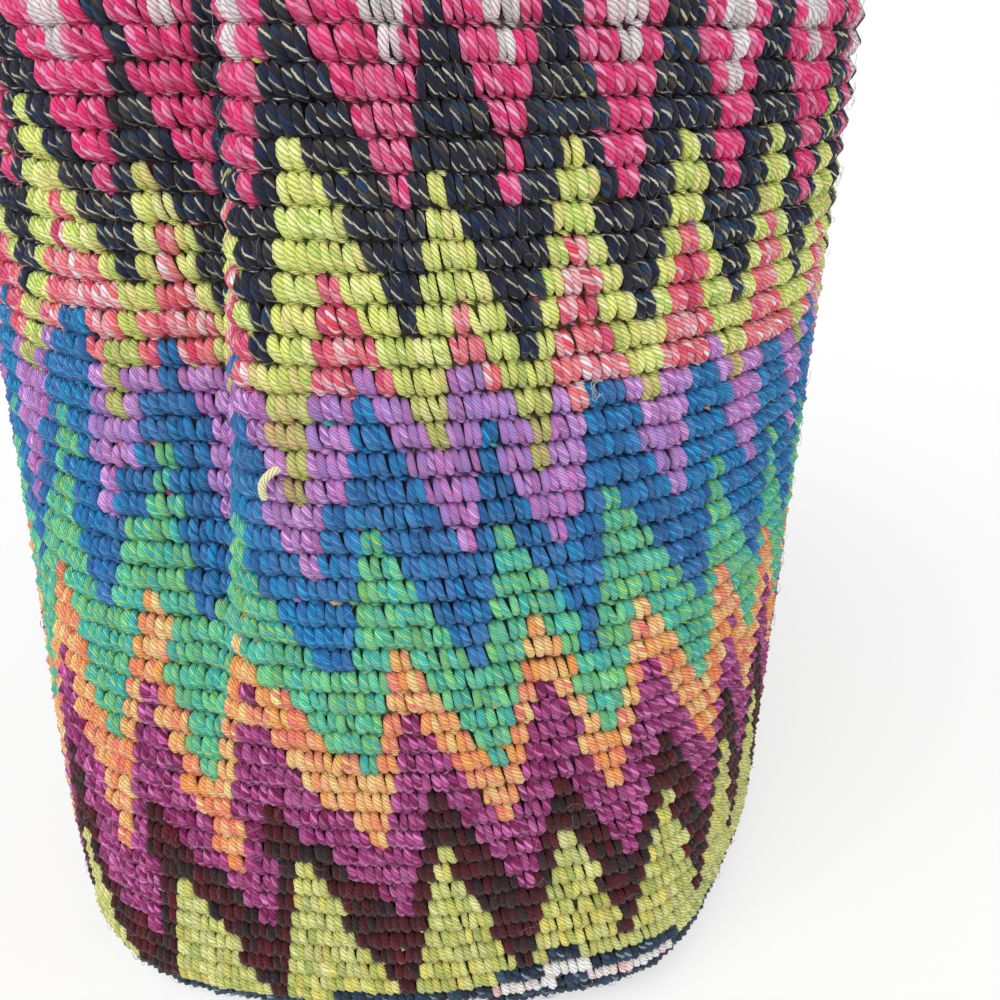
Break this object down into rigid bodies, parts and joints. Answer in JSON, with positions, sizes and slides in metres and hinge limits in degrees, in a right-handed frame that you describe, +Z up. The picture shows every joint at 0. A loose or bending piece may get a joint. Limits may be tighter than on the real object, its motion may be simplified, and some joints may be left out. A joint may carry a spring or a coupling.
{
  "type": "crochet crossbody bag",
  "caption": "Bucket-shaped crochet crossbody bag in rounds of flame-patterned yarn, with a flat base, an open mouth and a long sewn-on shoulder strap.",
  "frame": {"origin": "centre of the round base, on the surface that the bag stands on", "axes": "+Z up along the bag, -Y towards the front, +X to the right seen from the front; the strap lies behind, towards +Y"},
  "size_m": [0.2014, 0.3581, 0.2812],
  "materials": {
    "bag_yarn": "matt plied yarn in many dyed colours, with a ridge for each round",
    "strap_yarn": "matt navy and black plied yarn with cream flecks",
    "sewing_yarn": "matt navy yarn"
  },
  "bodies": {
    "root": {"bag_body": "bag_yarn", "shoulder_strap": "strap_yarn", "strap_stitch_left": "sewing_yarn", "strap_stitch_right": "sewing_yarn"}
  },
  "joints": []
}
